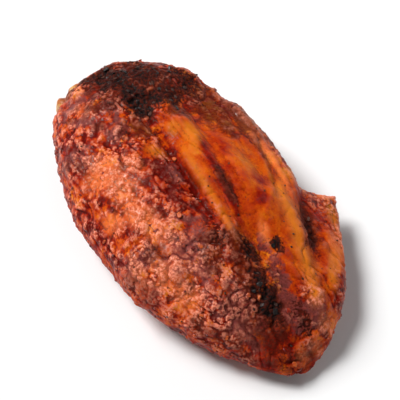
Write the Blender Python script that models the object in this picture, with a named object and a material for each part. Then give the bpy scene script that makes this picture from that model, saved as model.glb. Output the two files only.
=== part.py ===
"""Roasted chicken wing flat: the two-boned middle joint of a wing, lying skin side up.

Run with: blender --background --python part.py

Metres, +Z up. X runs from the elbow end (-X) to the wrist end (+X). Y runs across the wing: -Y is the
plump lobe over the ulna, +Y the flatter side over the radius, with a loose flap of skin low on it.
The origin is on the resting plane, under the middle of the wing's box.

The meat and its skin are one solid. Two bones run through it in channels of their own, and their heads
show at the elbow end, where the joint was cut.
"""

import math

import bmesh
import bpy
from mathutils import Vector, noise

MM = 0.001

# Driving dimensions, in millimetres
LENGTH = 89.0
NEAR_WIDTH = 22.9  # from the wing's middle line to the plump edge, at the widest section
FAR_WIDTH = 22.3  # and to the flat edge
TOP = 23.5  # height of the plump lobe
WIDEST_X = -5.0  # the section where the outline is widest
LINE_Y = -0.5  # the middle line's place at X = 0, and how much it leans
LINE_SLOPE = -0.07
EDGE_SHARE = 0.46  # height of the widest level, as a share of the section's height
FLAT_DEPTH = 1.2  # how much of the belly is pressed flat by what it lies on
BONE_GAP = 0.3  # between a bone and its channel

# How many cells the skin's mesh has along X, Y and Z
CELLS = (48, 27, 9)

SMOOTH_ANGLE = math.radians(60)


def clamp01(value):
    return max(0.0, min(1.0, value))


def ramp(low, high, value):
    """0 below low, 1 above high, and smooth between. With low above high it runs the other way."""
    t = clamp01((value - low) / (high - low))
    return t * t * (3 - 2 * t)


def bell(value, centre, half):
    """1 at centre, falling smoothly to about a third at half away from it."""
    return math.exp(-(((value - centre) / half) ** 2))


def span(value, start, end, fade):
    """1 from start to end, fading to 0 over the fade outside them."""
    return ramp(start - fade, start, value) * ramp(end + fade, end, value)


# ---------------------------------------------------------------------------
# The wing's outline and section
# ---------------------------------------------------------------------------


def share_of_end(x):
    """How far x is from the widest section, as a share of the way to its end, and which end it is."""
    if x < WIDEST_X:
        return (WIDEST_X - x) / (WIDEST_X + LENGTH / 2), "elbow"
    return (x - WIDEST_X) / (LENGTH / 2 - WIDEST_X), "wrist"


def end_profile(x, elbow, wrist):
    """1 at the widest section and 0 at the ends, each with a (power, taper): a high power keeps it blunt."""
    share, end = share_of_end(x)
    power, taper = elbow if end == "elbow" else wrist
    return math.sqrt(max(0.0, 1 - share**power)) * (1 - taper * share**2)


def middle_line(x):
    """The wing's middle line, which turns back a little at the wrist."""
    return LINE_Y + LINE_SLOPE * x + 1.5 * ramp(24, 42, x)


def near_share(x):
    """Half the width on the plump side, as a share of the widest. It stays full almost to the wrist."""
    return end_profile(x, elbow=(2.05, 0.06), wrist=(2.9, 0.30)) + 0.05 * bell(x, 13, 10)


def far_share(x):
    """The same on the flatter side, which draws in sooner towards the wrist."""
    return end_profile(x, elbow=(2.5, 0.08), wrist=(2.2, 0.26))


def height(x):
    """The section's height: thick and blunt at the elbow, thin at the wrist."""
    return TOP * end_profile(x, elbow=(4.5, 0.14), wrist=(2.8, 0.33))


def underside(x):
    """Height of the section's lowest point. The two ends lift off the resting plane."""
    lift_elbow = 3.0 * ramp(-28, -46, x)
    lift_wrist = 3.6 * ramp(20, 46, x)
    return lift_elbow + lift_wrist - FLAT_DEPTH


def section_point(x, across, up):
    """A point of the section at x, from its place on a unit circle."""
    low = underside(x)
    high = max(low + 0.4, height(x) + 0.25 * low)
    level = low + EDGE_SHARE * (high - low)
    side = FAR_WIDTH * far_share(x) if across > 0 else NEAR_WIDTH * near_share(x)
    y = middle_line(x) + side * math.copysign(abs(across) ** 0.92, across)
    reach = high - level if up > 0 else level - low
    z = level + reach * math.copysign(abs(up) ** (0.88 if up > 0 else 1.0), up)
    return y, z


# ---------------------------------------------------------------------------
# What the skin shows: lobes, furrows, the ridge between the bones, the rim and the flap
# ---------------------------------------------------------------------------


def furrow_near(x):
    """Y of the wide furrow beside the plump lobe."""
    return -1.0 - 0.13 * x


def ridge(x):
    """Y of the narrow ridge of skin that is drawn up between the bones."""
    return 2.4 - 0.20 * x


def furrow_far(x):
    """Y of the narrow furrow beyond that ridge."""
    return 5.4 - 0.22 * x


def relief(x, y):
    """Height of the skin over the plain section, on the upper side."""
    far_edge = middle_line(x) + FAR_WIDTH * far_share(x)
    along = span(x, -20, 9, 9)
    rise = -1.9 * bell(y, furrow_near(x), 3.0) * along
    rise += 0.6 * bell(y, ridge(x), 2.2) * span(x, -22, 10, 5)
    rise -= 1.1 * bell(y, furrow_far(x), 2.3) * span(x, -14, 20, 8)
    rise -= 2.4 * ramp(5.0, 12, y) * along
    rise += 1.5 * bell(y, far_edge - 1.6, 2.4) * span(x, -26, 12, 6)
    rise += 1.1 * bell(y, -3.8 - 0.05 * (x - 20), 4.0) * span(x, 14, 32, 7)
    rise -= 0.6 * bell(y, 2.4 - 0.15 * (x - 20), 2.2) * span(x, 18, 34, 5)
    rise += 0.6 * bell(y, 6.6 - 0.30 * (x - 24), 2.4) * span(x, 18, 34, 5)
    rise -= 1.2 * ramp(9.5, 14, y) * span(x, 14, 30, 6)
    rise += 0.7 * bell(x, -31, 6) * bell(y, 4, 14)
    return rise


def belly_relief(x, y):
    """Depth of the skin under the plain section, on the lower side: a furrow between the two bones."""
    return 2.0 * bell(y, 2.5 - 0.12 * x, 4.5) * span(x, -34, 30, 8)


def flap_reach(x, z):
    """How far the loose flap of skin stands out of the far edge, low on the wrist half."""
    long = ramp(10.5, 16.5, x) * ramp(48, 36, x)
    return (10.2 - 0.27 * (x - 14)) * long * bell(z, 7.6, 4.2)


def flap_groove(x, z):
    """How deep the groove is between that flap and the rim above it."""
    return 1.6 * span(x, 14, 32, 5) * bell(z, 13.0, 2.2)


def cut_lean(x, z):
    """How far the elbow end leans along X: skin hangs over the cut joint, where the meat is drawn back."""
    drawn_back = 4.6 * ramp(-33, -44, x) * ramp(12, 6.5, z)
    return drawn_back - 1.6 * ramp(-30, -44, x) * ramp(10, 16, z)


def unevenness(x, y, z):
    """Slow swells that keep the two sides and the ends from being regular, as a height along the normal."""
    place = Vector((x / 15.0, y / 13.0, z / 11.0))
    return 0.75 * noise.noise(place + Vector((3.1, 7.7, 1.3))) + 0.35 * noise.noise(place * 2.3)


# ---------------------------------------------------------------------------
# Meshes
# ---------------------------------------------------------------------------


def grid_box(cells):
    """A two-unit cube whose faces are cut into cells along X, Y and Z."""
    bm = bmesh.new()
    bmesh.ops.create_cube(bm, size=2.0)
    for axis, count in enumerate(cells):
        lengthwise = [
            edge
            for edge in bm.edges
            if abs((edge.verts[0].co - edge.verts[1].co).normalized()[axis]) > 0.9
        ]
        bmesh.ops.subdivide_edges(bm, edges=lengthwise, cuts=count - 1, use_grid_fill=True)
    return bm


def on_sphere(point):
    """Moves a point of the two-unit cube onto the unit sphere, keeping the cells about equal."""
    u, v, w = (c * c for c in point)
    return Vector(
        (
            point.x * math.sqrt(1 - v / 2 - w / 2 + v * w / 3),
            point.y * math.sqrt(1 - w / 2 - u / 2 + w * u / 3),
            point.z * math.sqrt(1 - u / 2 - v / 2 + u * v / 3),
        )
    )


def wing_point(ball):
    """A point of the wing's skin, in millimetres, from its place on the unit sphere."""
    x = LENGTH / 2 * ball.x
    round_section = math.hypot(ball.y, ball.z)
    if round_section < 1e-6:
        across, up = 0.0, 0.0
    else:
        across, up = ball.y / round_section, ball.z / round_section
    y, z = section_point(x, across, up)
    z += relief(x, y) * ramp(0.05, 0.75, up) + belly_relief(x, y) * ramp(-0.1, -0.8, up)
    if across > 0:
        y += (flap_reach(x, z) - flap_groove(x, z)) * ramp(0.05, 0.6, across)
    return Vector((x + cut_lean(x, z), y, z))


def wing_mesh(name):
    bm = grid_box(CELLS)
    for vert in bm.verts:
        vert.co = wing_point(on_sphere(vert.co))
    bm.normal_update()
    swells = [(vert, vert.normal * unevenness(*vert.co)) for vert in bm.verts]
    for vert, swell in swells:
        vert.co += swell
        vert.co.z = max(vert.co.z, 0.0)
    bmesh.ops.scale(bm, vec=(MM,) * 3, verts=bm.verts)
    mesh = bpy.data.meshes.new(name)
    bm.to_mesh(mesh)
    bm.free()
    return mesh


# A bone is a swept tube. Its route bows from (x, y, z) at the elbow to (x, y, z) at the wrist.
BONES = {
    "ulna": {
        "elbow": (-42.2, -3.0, 8.0),
        "wrist": (33.0, -8.0, 8.4),
        "bow": (0.0, -3.4, 1.0),
        "shaft": 2.5,
        "elbow_head": 5.0,
        "wrist_head": 3.2,
    },
    "radius": {
        "elbow": (-41.4, 8.4, 8.2),
        "wrist": (32.0, -0.2, 8.6),
        "bow": (0.0, 3.6, 0.6),
        "shaft": 1.7,
        "elbow_head": 4.0,
        "wrist_head": 2.5,
    },
}
BONE_STATIONS = 26
BONE_SIDES_RESOLUTION = 3


def bone_route(bone, share):
    """The bone's centre at a share of its length, in millimetres."""
    start, end, bow = (Vector(bone[key]) for key in ("elbow", "wrist", "bow"))
    return start.lerp(end, share) + bow * math.sin(math.pi * share)


def bone_radius(bone, share):
    """Half the bone's thickness at a share of its length: a shaft between two rounded heads."""
    length = (Vector(bone["wrist"]) - Vector(bone["elbow"])).length
    elbow, wrist = share * length, (1 - share) * length
    thick = bone["shaft"]
    thick += (bone["elbow_head"] - bone["shaft"]) * ramp(13, 3.5, elbow)
    thick += (bone["wrist_head"] - bone["shaft"]) * ramp(9, 2.5, wrist)
    for reach, head in ((elbow, bone["elbow_head"]), (wrist, bone["wrist_head"])):
        dome = 0.75 * head
        if reach < dome:
            thick *= math.sqrt(max(0.04, 1 - (1 - reach / dome) ** 2))
    return thick


def head_share(station):
    """Places the stations closer together near both ends, where the heads are rounded."""
    t = station / (BONE_STATIONS - 1)
    return t - 0.115 * math.sin(2 * math.pi * t) - 0.018 * math.sin(4 * math.pi * t)


def bone_object(name, bone, grow, collection):
    """The bone as a mesh object, swept from a curve. grow is added to its radius."""
    curve = bpy.data.curves.new(name, "CURVE")
    curve.dimensions = "3D"
    curve.bevel_depth = MM
    curve.bevel_resolution = BONE_SIDES_RESOLUTION
    curve.use_fill_caps = True
    spline = curve.splines.new("POLY")
    spline.points.add(BONE_STATIONS - 1)
    for station, point in enumerate(spline.points):
        share = head_share(station)
        point.co = (*(bone_route(bone, share) * MM), 1.0)
        point.radius = bone_radius(bone, share) + grow
    sweep = bpy.data.objects.new(name + "_sweep", curve)
    collection.objects.link(sweep)
    bpy.context.view_layer.update()
    graph = bpy.context.evaluated_depsgraph_get()
    mesh = bpy.data.meshes.new_from_object(sweep.evaluated_get(graph))
    mesh.name = name
    bm = bmesh.new()
    bm.from_mesh(mesh)
    bmesh.ops.remove_doubles(bm, verts=bm.verts, dist=0.01 * MM)
    bmesh.ops.recalc_face_normals(bm, faces=bm.faces)
    bm.to_mesh(mesh)
    bm.free()
    obj = bpy.data.objects.new(name, mesh)
    obj.matrix_world = sweep.matrix_world
    collection.objects.link(obj)
    bpy.data.objects.remove(sweep)
    bpy.data.curves.remove(curve)
    return obj


def finish_material(name, colour, roughness):
    material = bpy.data.materials.new(name)
    material.use_nodes = True
    shader = material.node_tree.nodes["Principled BSDF"]
    shader.inputs["Base Color"].default_value = (*colour, 1.0)
    shader.inputs["Roughness"].default_value = roughness
    shader.inputs["Metallic"].default_value = 0.0
    return material


def cut_channel(wing, cutter):
    channel = wing.modifiers.new(cutter.name, "BOOLEAN")
    channel.operation = "DIFFERENCE"
    channel.solver = "EXACT"
    channel.object = cutter


def centre_on_origin(pieces, cutters):
    """Moves everything together, so that the origin is under the middle of the pieces' box."""
    points = [piece.matrix_world @ vert.co for piece in pieces for vert in piece.data.vertices]
    low, high = (Vector(pick(p[i] for p in points) for i in range(3)) for pick in (min, max))
    middle = Vector(((low.x + high.x) / 2, (low.y + high.y) / 2, low.z))
    for obj in [*pieces, *cutters]:
        obj.location -= middle


def main():
    for obj in list(bpy.data.objects):
        bpy.data.objects.remove(obj)
    parts = bpy.data.collections.new("chicken_wing")
    cutters = bpy.data.collections.new("cutters")
    for collection in (parts, cutters):
        bpy.context.scene.collection.children.link(collection)

    skin = finish_material("roast_skin", (0.50, 0.105, 0.022), 0.38)
    bone_cream = finish_material("bone_cream", (0.66, 0.38, 0.16), 0.45)

    wing = bpy.data.objects.new("wing", wing_mesh("wing"))
    wing.data.materials.append(skin)
    parts.objects.link(wing)
    for name, bone in BONES.items():
        piece = bone_object(name, bone, 0.0, parts)
        piece.data.materials.append(bone_cream)
        piece.data.shade_smooth()
        cutter = bone_object(name + "_channel", bone, BONE_GAP, cutters)
        cutter.hide_render = True
        cutter.display_type = "WIRE"
        cut_channel(wing, cutter)
    wing.data.shade_smooth()
    wing.data.set_sharp_from_angle(angle=SMOOTH_ANGLE)
    centre_on_origin(parts.objects, cutters.objects)


main()
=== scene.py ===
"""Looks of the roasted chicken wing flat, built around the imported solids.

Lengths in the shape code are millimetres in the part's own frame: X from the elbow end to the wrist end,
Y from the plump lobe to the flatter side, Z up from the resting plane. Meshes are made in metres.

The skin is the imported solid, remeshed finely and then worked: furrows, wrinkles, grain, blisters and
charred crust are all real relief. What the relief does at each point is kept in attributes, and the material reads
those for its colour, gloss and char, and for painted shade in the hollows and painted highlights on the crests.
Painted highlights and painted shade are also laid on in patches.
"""

import math

import bmesh
import bpy
import numpy as np
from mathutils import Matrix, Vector
from mathutils.bvhtree import BVHTree


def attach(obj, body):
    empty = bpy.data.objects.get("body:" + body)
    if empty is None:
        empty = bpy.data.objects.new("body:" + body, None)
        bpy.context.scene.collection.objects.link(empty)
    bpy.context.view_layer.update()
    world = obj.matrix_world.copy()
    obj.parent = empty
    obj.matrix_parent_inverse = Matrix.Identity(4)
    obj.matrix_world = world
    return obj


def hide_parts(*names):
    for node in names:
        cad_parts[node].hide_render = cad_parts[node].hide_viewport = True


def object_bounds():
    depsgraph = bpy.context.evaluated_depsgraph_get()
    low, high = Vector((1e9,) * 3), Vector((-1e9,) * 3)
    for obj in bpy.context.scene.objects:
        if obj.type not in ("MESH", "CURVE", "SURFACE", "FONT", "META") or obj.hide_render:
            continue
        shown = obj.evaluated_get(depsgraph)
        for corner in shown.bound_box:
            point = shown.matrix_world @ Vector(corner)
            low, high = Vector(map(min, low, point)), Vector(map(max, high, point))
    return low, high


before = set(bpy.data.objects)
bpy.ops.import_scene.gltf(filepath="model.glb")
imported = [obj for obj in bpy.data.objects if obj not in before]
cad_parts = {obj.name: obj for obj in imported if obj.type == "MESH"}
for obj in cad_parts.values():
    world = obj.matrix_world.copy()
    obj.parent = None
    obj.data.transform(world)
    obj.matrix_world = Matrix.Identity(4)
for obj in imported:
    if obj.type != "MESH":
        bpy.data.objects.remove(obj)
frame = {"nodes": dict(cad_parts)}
cad_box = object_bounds()  # before any piece is made, so this is the CAD model's box

MM = 0.001
FLOOR_GAP = 0.05  # between the resting plane and the floor under it
BODY = "root"

VOXEL = 0.29  # the skin's mesh size
MOST_TRIANGLES = 190_000  # for the skin, whose unseen underside is thinned out to keep to it

# ---------------------------------------------------------------------------
# Shaping functions on arrays
# ---------------------------------------------------------------------------


def ramp(low, high, value):
    """0 below low, 1 above high, and smooth between. With low above high it runs the other way."""
    t = np.clip((value - low) / (high - low), 0.0, 1.0)
    return t * t * (3 - 2 * t)


def bell(value, centre, half):
    """1 at centre, falling smoothly to about a third at half away from it."""
    return np.exp(-(((value - centre) / half) ** 2))


def span(value, start, end, fade):
    """1 from start to end, fading to 0 over the fade outside them."""
    return ramp(start - fade, start, value) * ramp(end + fade, end, value)


def mix(low, high, share):
    return low * (1 - share) + high * share


# ---------------------------------------------------------------------------
# Noise on arrays of points, the same at every run
# ---------------------------------------------------------------------------


def hashed(cell, seed):
    """A number from 0 to 1 for each whole-numbered cell, an array of shape (n, 3)."""
    c = cell.astype(np.int64).astype(np.uint32)
    h = c[:, 0] * np.uint32(374761393) + c[:, 1] * np.uint32(668265263) + c[:, 2] * np.uint32(2147483629)
    h = h + np.uint32((seed * 1274126177) & 0xFFFFFFFF)
    h = (h ^ (h >> np.uint32(13))) * np.uint32(1274126177)
    h = (h ^ (h >> np.uint32(15))) * np.uint32(2246822519)
    return (h ^ (h >> np.uint32(16))).astype(np.float64) / 4294967296.0


def soft_noise(points, size, seed):
    """Smooth noise from -1 to 1 with features about size across."""
    place = points / size
    base = np.floor(place)
    f = place - base
    f = f * f * f * (f * (f * 6 - 15) + 10)
    total = np.zeros(len(points))
    for corner in np.ndindex(2, 2, 2):
        weight = np.prod([f[:, i] if corner[i] else 1 - f[:, i] for i in range(3)], axis=0)
        total += weight * hashed(base + corner, seed)
    return total * 2 - 1


def layered_noise(points, size, seed, layers=4, gain=0.5):
    """Noise at size and at ever finer sizes, about -1 to 1."""
    total, weight = np.zeros(len(points)), 0.0
    for layer in range(layers):
        share = gain**layer
        total += share * soft_noise(points, size / 2.03**layer, seed + 17 * layer)
        weight += share
    return total / weight


def cell_noise(points, size, seed, spread=0.9):
    """Distance to the nearest and second nearest scattered point, in cells, and the nearest one's own number."""
    place = points / size
    base = np.floor(place)
    near = np.full(len(points), 9.0)
    second = np.full(len(points), 9.0)
    own = np.zeros(len(points))
    for step in np.ndindex(3, 3, 3):
        cell = base + np.array(step) - 1
        spot = np.stack([hashed(cell, seed + k) for k in (1, 2, 3)], axis=1)
        away = np.linalg.norm(cell + 0.5 + (spot - 0.5) * spread - place, axis=1)
        nearer = away < near
        second = np.where(nearer, near, np.minimum(second, away))
        own = np.where(nearer, hashed(cell, seed + 4), own)
        near = np.where(nearer, away, near)
    return near, second, own


def warped(points, size, amount, seed):
    """The points pushed about by noise, so that a pattern read there loses its regularity."""
    push = np.stack([soft_noise(points, size, seed + k) for k in (31, 32, 33)], axis=1)
    return points + amount * push


# ---------------------------------------------------------------------------
# Where things are on the wing
# ---------------------------------------------------------------------------


def veer(x):
    """How far the furrows and the ridge turn towards the plump lobe, beyond the elbow end."""
    return 1.6 * ramp(-12, -5, x)


def furrow_near(x):
    """Y of the wide furrow beside the plump lobe."""
    return -2.4 - 0.15 * x - veer(x)


def ridge(x):
    """Y of the narrow ridge of skin drawn up between the bones."""
    return 0.75 - 0.17 * x - veer(x)


def furrow_far(x):
    """Y of the narrow furrow beyond that ridge."""
    return 4.3 - 0.24 * x - 0.4 * veer(x)


def brow(x):
    """Y of the bulge where the flatter side turns down towards the flap."""
    return 11.9 - 0.27 * (x - 14)


def wrist_ridge(x):
    """Y of the tendon's ridge on the wrist half."""
    return 7.7 - 0.37 * (x - 25)


def patch(x, y, middle, half, turn=0.0):
    """Distance from an oval patch's middle: 1 at its edge. turn is its long axis's angle in degrees."""
    c, s = math.cos(math.radians(turn)), math.sin(math.radians(turn))
    dx, dy = x - middle[0], y - middle[1]
    return np.hypot((dx * c + dy * s) / half[0], (dy * c - dx * s) / half[1])


def patches(x, y, table, ragged, inner=0.35, outer=1.25):
    """The strongest of the table's oval patches at each point: (middle, half axes, turn, strength)."""
    total = np.zeros(len(x))
    for middle, half, turn, strength in table:
        edge = patch(x, y, middle, half, turn) + ragged
        total = np.maximum(total, strength * ramp(outer, inner, edge))
    return total


# Each table's rows are an oval's middle, its half axes, its turn in degrees and its strength.
CHAR_PATCHES = [
    ((-34.0, 1.0), (6.5, 5.5), 20, 1.0),
    ((-37.5, -2.5), (4.0, 4.5), 20, 0.8),
    ((-25.5, 1.2), (6.5, 4.0), -10, 1.1),
    ((-20.5, 0.4), (3.4, 2.6), 0, 1.15),
    ((-21.5, 4.4), (4.0, 2.6), 0, 1.05),
    ((-30.5, 7.0), (7.0, 5.5), -10, 0.9),
    ((-22.0, 8.0), (5.5, 4.0), -15, 0.75),
    ((-26.0, 14.0), (8.0, 4.0), -10, 0.75),
    ((-25.0, -4.2), (4.5, 1.8), 15, 0.55),
    ((26.5, -4.6), (5.6, 2.6), -12, 1.1),
    ((31.0, -6.3), (4.4, 2.4), 0, 1.0),
    ((21.0, -3.2), (4.2, 2.0), -20, 0.8),
    ((15.0, -6.4), (3.6, 2.0), -30, 0.5),
    ((36.5, -1.0), (3.5, 2.0), -8, 0.5),
    ((21.9, 3.4), (2.5, 1.6), -10, 1.0),
    ((21.0, 13.4), (6.0, 1.4), -26, 0.7),
    ((5.5, 2.3), (6.0, 0.8), -8, 0.35),
]
BROWN_PATCHES = [
    ((-30.0, 4.0), (12.5, 13.0), 0, 1.15),
    ((-17.0, 14.0), (9.0, 6.0), -14, 1.1),
    ((-9.0, 18.4), (8.0, 3.0), -12, 1.0),
    ((-1.0, 21.5), (18.0, 2.6), -4, 0.9),
    ((24.0, -5.0), (12.0, 4.4), -6, 1.0),
    ((33.0, -8.4), (7.0, 4.6), 15, 0.8),
    ((39.0, -9.5), (5.0, 4.0), 0, 0.7),
    ((-27.0, -6.6), (2.6, 1.8), 0, 0.9),
    ((-23.0, -9.4), (2.0, 1.5), 0, 0.9),
    ((-30.5, -12.6), (2.0, 1.5), 0, 0.8),
    ((15.0, -8.0), (6.0, 2.6), -30, 0.75),
    ((20.5, 13.6), (8.5, 2.5), -26, 1.15),
    ((15.0, 18.0), (4.0, 2.4), -25, 0.6),
    ((9.0, -18.6), (2.6, 3.2), 0, 0.8),
    ((-20.5, -18.8), (3.6, 2.2), 20, 0.7),
    ((-18.5, -6.0), (4.5, 2.4), -15, 0.7),
    ((-17.0, -3.2), (5.0, 2.8), -15, 1.25),
    ((-15.5, 6.2), (3.6, 3.4), 0, 1.25),
    ((-8.6, 13.4), (5.5, 2.6), -10, 1.0),
    ((1.5, 15.4), (8.0, 1.3), -5, 0.7),
    ((17.5, -9.4), (6.0, 3.0), -22, 0.95),
    ((31.0, -1.8), (7.5, 3.2), -12, 0.4),
    ((5.5, 2.4), (6.5, 1.4), -8, 0.95),
    ((27.0, -12.0), (5.0, 3.0), 0, 0.6),
    # Painted shade: the near lower edge of the wrist half, darkened where it turns away from the lamps
    ((31.0, -17.5), (10.0, 3.4), 20, 0.85),
    ((14.0, -25.0), (12.0, 2.4), 6, 0.7),
]
FAT_PATCHES = [
    ((-9.0, 4.5), (4.8, 2.6), -10, 1.0),
    ((-12.6, 2.8), (2.6, 2.0), 0, 0.9),
    ((-5.5, 2.6), (3.2, 1.6), -40, 0.8),
    ((-9.8, -4.6), (3.2, 1.9), 30, 0.65),
    ((2.5, 9.8), (4.8, 1.8), -4, 0.5),
    ((31.0, 11.6), (6.0, 1.6), -42, 0.8),
    ((18.6, 21.6), (4.5, 1.8), -25, 0.9),
]
# Painted highlights where the crust and the rims are lit to a salmon; where the sauce shows deep red; and where the
# crust is a dull mauve
HIGHLIGHT_PATCHES = [
    ((-12.5, -15.8), (5.0, 3.6), 10, 1.2),
    ((-7.5, -15.0), (3.4, 3.0), 0, 1.1),
    ((-2.5, -20.6), (3.0, 1.6), 0, 0.9),
    ((-9.5, -10.5), (2.6, 2.0), 0, 0.7),
    ((3.0, -16.0), (6.0, 2.8), 6, 1.2),
    ((14.3, -20.0), (3.6, 2.0), 0, 0.8),
    ((20.0, -18.2), (4.6, 2.4), 0, 0.9),
    ((10.5, -23.2), (3.0, 1.2), 0, 0.6),
    ((-2.0, 16.9), (14.0, 1.1), -6, 1.2),
    ((11.0, 14.6), (3.4, 1.4), -20, 0.7),
    ((-30.0, -9.0), (3.6, 2.0), 0, 0.5),
    ((39.3, 4.5), (2.0, 3.2), 0, 0.8),
    ((24.4, 18.0), (4.6, 1.7), -45, 1.1),
    ((29.5, 13.6), (4.6, 1.5), -48, 1.1),
    ((-9.0, 19.8), (11.0, 0.9), -8, 1.0),
    ((18.4, 3.0), (2.4, 1.2), -20, 0.8),
    ((40.6, -0.8), (1.8, 1.8), 0, 0.8),
    ((41.0, -4.6), (1.4, 1.6), 0, 0.6),
]
RED_PATCHES = [
    ((-17.0, -21.8), (7.0, 1.8), -8, 1.2),
    ((-6.0, -23.8), (8.0, 1.6), 0, 1.0),
    ((3.5, -24.6), (5.0, 1.5), 5, 0.8),
    ((17.0, -23.0), (4.6, 1.8), 12, 1.0),
    # Painted shade: the near lower edge of the wrist half, darkened where it turns away from the lamps
    ((30.0, -16.5), (9.0, 3.6), 20, 1.1),
    ((-28.0, -11.0), (10.0, 7.0), 20, 0.9),
    ((-2.2, -13.4), (2.4, 1.6), 0, 1.1),
    ((-12.5, -7.8), (2.8, 2.0), 0, 1.0),
    ((-1.5, -8.5), (6.0, 3.4), -8, 1.1),
    ((6.5, -7.5), (5.0, 2.6), -10, 0.9),
    ((40.0, -9.5), (3.5, 3.5), 0, 1.0),
    ((40.5, -3.5), (3.0, 4.0), 0, 0.8),
    ((-1.6, 7.6), (2.4, 1.1), -30, 0.8),
    ((8.0, 9.4), (2.4, 1.2), -20, 0.9),
    ((12.4, 7.2), (2.6, 1.1), -20, 0.8),
    ((15.0, 18.0), (4.0, 2.4), -25, 1.0),
    ((26.0, 15.0), (6.0, 2.0), -42, 0.4),
    ((24.0, 12.6), (6.0, 2.4), -35, 1.1),
    ((-26.0, -16.0), (6.0, 2.6), -15, 1.1),
    ((-20.0, -11.0), (3.0, 2.0), 0, 1.0),
    ((2.1, 5.8), (2.4, 1.2), -10, 0.9),
    ((-17.0, -18.6), (9.0, 2.4), 0, 1.1),
]
DUSK_PATCHES = [
    ((14.0, -13.0), (9.0, 4.4), -8, 1.0),
    ((8.6, -20.0), (4.0, 2.6), 10, 1.0),
    ((15.0, -17.5), (11.0, 4.4), 0, 0.7),
    ((29.0, -11.5), (7.0, 4.0), 10, 1.0),
    ((-21.5, -18.5), (4.6, 3.0), 20, 0.9),
    ((-33.5, -9.0), (5.0, 5.0), 0, 0.9),
    ((-20.0, -7.0), (5.0, 3.0), -20, 0.8),
    ((-3.0, -4.8), (5.0, 2.0), -10, 0.6),
    ((24.0, 0.6), (6.0, 2.0), -14, 0.7),
    ((37.0, 1.4), (3.6, 2.6), 0, 1.1),
    ((7.5, -22.4), (4.4, 2.4), 0, 1.0),
    ((12.0, -9.4), (5.0, 2.4), -20, 1.0),
    ((-9.0, 17.6), (10.0, 1.8), -8, 0.9),
    ((-28.0, -12.0), (4.0, 2.0), 30, 0.9),
    ((-17.5, -16.0), (4.0, 1.8), -10, 0.9),
    ((-24.0, -5.5), (5.0, 2.0), -15, 1.0),
    ((31.5, -1.6), (6.5, 2.6), -12, 1.3),
]


# ---------------------------------------------------------------------------
# The skin's mesh
# ---------------------------------------------------------------------------

SOCKET_X = -33.0  # how deep the bones' channels are kept, beyond which they are closed
CHANNEL_NEAR = 0.6  # a face this near a bone is its channel's wall


def tree_of(obj):
    bm = bmesh.new()
    bm.from_mesh(obj.data)
    tree = BVHTree.FromBMesh(bm)
    bm.free()
    return tree


def evaluated_copy(obj, name):
    """A new mesh with obj's modifiers applied."""
    bpy.context.view_layer.update()
    mesh = bpy.data.meshes.new_from_object(obj.evaluated_get(bpy.context.evaluated_depsgraph_get()))
    mesh.name = name
    return mesh


def close_with_fans(bm):
    """Closes each opening with a fan of triangles round its middle."""
    open_edges = {edge for edge in bm.edges if edge.is_boundary}
    while open_edges:
        rim, frontier = set(), [open_edges.pop()]
        while frontier:
            edge = frontier.pop()
            rim.add(edge)
            beside = {e for v in edge.verts for e in v.link_edges if e in open_edges}
            open_edges -= beside
            frontier.extend(beside)
        corners = {vert for edge in rim for vert in edge.verts}
        middle = bm.verts.new(sum((v.co for v in corners), Vector()) / len(corners))
        for edge in rim:
            bm.faces.new((edge.verts[0], edge.verts[1], middle))


def skin_object(wing, trees):
    """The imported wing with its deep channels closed, remeshed into even small squares."""
    bm = bmesh.new()
    bm.from_mesh(wing.data)
    bmesh.ops.remove_doubles(bm, verts=bm.verts, dist=0.001 * MM)

    def is_channel(face):
        point = face.calc_center_median()
        near = any(tree.find_nearest(point)[3] < CHANNEL_NEAR * MM for tree in trees)
        return near and point.x > SOCKET_X * MM

    bmesh.ops.delete(bm, geom=[face for face in bm.faces if is_channel(face)], context="FACES")
    close_with_fans(bm)
    bmesh.ops.recalc_face_normals(bm, faces=bm.faces)
    mesh = bpy.data.meshes.new("skin_cage")
    bm.to_mesh(mesh)
    bm.free()

    return remeshed("skin", mesh, VOXEL, 10)


def remeshed(name, mesh, size, rounds):
    """A new object: the closed mesh remade from even small squares and softened."""
    cage = bpy.data.objects.new(name + "_cage", mesh)
    bpy.context.scene.collection.objects.link(cage)
    remesh = cage.modifiers.new("even", "REMESH")
    remesh.mode = "VOXEL"
    remesh.voxel_size = size * MM
    smooth = cage.modifiers.new("soften", "SMOOTH")
    smooth.factor = 0.5
    smooth.iterations = rounds
    piece = bpy.data.objects.new(name, evaluated_copy(cage, name))
    bpy.context.scene.collection.objects.link(piece)
    bpy.data.objects.remove(cage)
    piece.data.materials.clear()
    piece.data.shade_smooth()
    return piece


def thinned(piece, most):
    """Thins out the underside's triangles until the piece has at most so many. The attributes are kept."""
    mesh = piece.data
    have = sum(len(face.vertices) - 2 for face in mesh.polygons)
    if have <= most:
        return
    group = piece.vertex_groups.new(name="underside")
    weight = ramp(-0.10, -0.60, normals_of(mesh)[:, 2])
    for i in np.flatnonzero(weight):
        group.add([int(i)], float(weight[i]), "REPLACE")
    thin = piece.modifiers.new("thin", "DECIMATE")
    thin.vertex_group = group.name
    thin.ratio = most / have
    piece.data = evaluated_copy(piece, piece.name)
    piece.modifiers.remove(thin)
    piece.vertex_groups.clear()


def points_of(mesh):
    co = np.empty(len(mesh.vertices) * 3, np.float32)
    mesh.vertices.foreach_get("co", co)
    return co.reshape(-1, 3).astype(float) / MM


def normals_of(mesh):
    found = np.empty(len(mesh.vertices) * 3, np.float32)
    mesh.vertex_normals.foreach_get("vector", found)
    return found.reshape(-1, 3).astype(float)


def move_to(mesh, points):
    points = points.copy()
    points[:, 2] = np.maximum(points[:, 2], 0.0)
    mesh.vertices.foreach_set("co", (points * MM).astype(np.float32).ravel())
    mesh.update()


def keep(mesh, name, values):
    """Keeps a value for each vertex as an attribute, from 0 to 1."""
    attribute = mesh.attributes.new(name, "FLOAT", "POINT")
    attribute.data.foreach_set("value", np.clip(values, 0, 1).astype(np.float32))


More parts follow.
